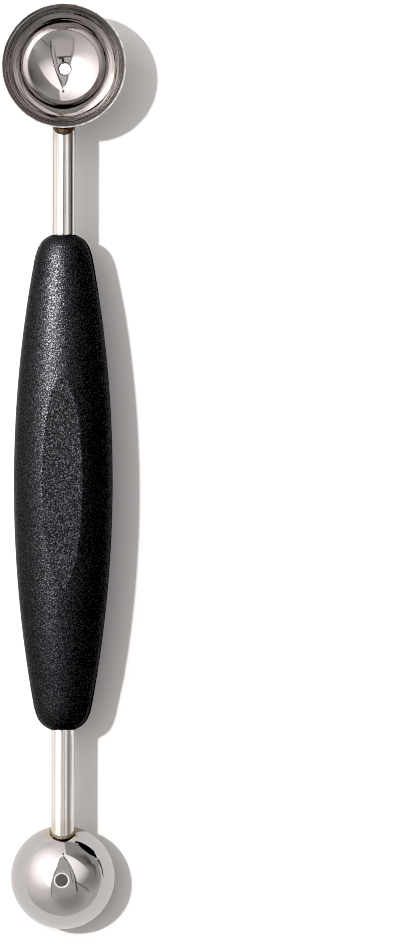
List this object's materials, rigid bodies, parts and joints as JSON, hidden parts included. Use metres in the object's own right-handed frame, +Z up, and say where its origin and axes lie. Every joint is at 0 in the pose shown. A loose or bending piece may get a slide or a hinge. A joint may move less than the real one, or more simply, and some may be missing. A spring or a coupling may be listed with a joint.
{
  "type": "melon baller",
  "caption": "Double-ended melon baller: barrel-shaped soft grip with flat facets, a steel shaft out of each end, a large and a small round scoop facing opposite ways.",
  "frame": {"origin": "middle of the lower facet of the grip, on which the tool lies", "axes": "+Y along the handle towards the large scoop, +Z up, out of the upper facet and the way the large scoop opens, +X to the right seen from above with the large scoop away from the viewer"},
  "size_m": [0.029, 0.2159, 0.0208],
  "materials": {
    "grip_rubber": "fine grained matte, black",
    "core_plastic": "as moulded, dark grey",
    "shaft_steel": "polished lengthways",
    "scoop_steel": "mirror polished",
    "weld_steel": "rough, heat tinted brown"
  },
  "bodies": {
    "root": {"grip": "grip_rubber", "handle_core": "core_plastic", "large_shaft": "shaft_steel", "small_shaft": "shaft_steel", "large_scoop": "scoop_steel", "small_scoop": "scoop_steel", "large_weld": "weld_steel", "small_weld": "weld_steel"}
  },
  "joints": []
}
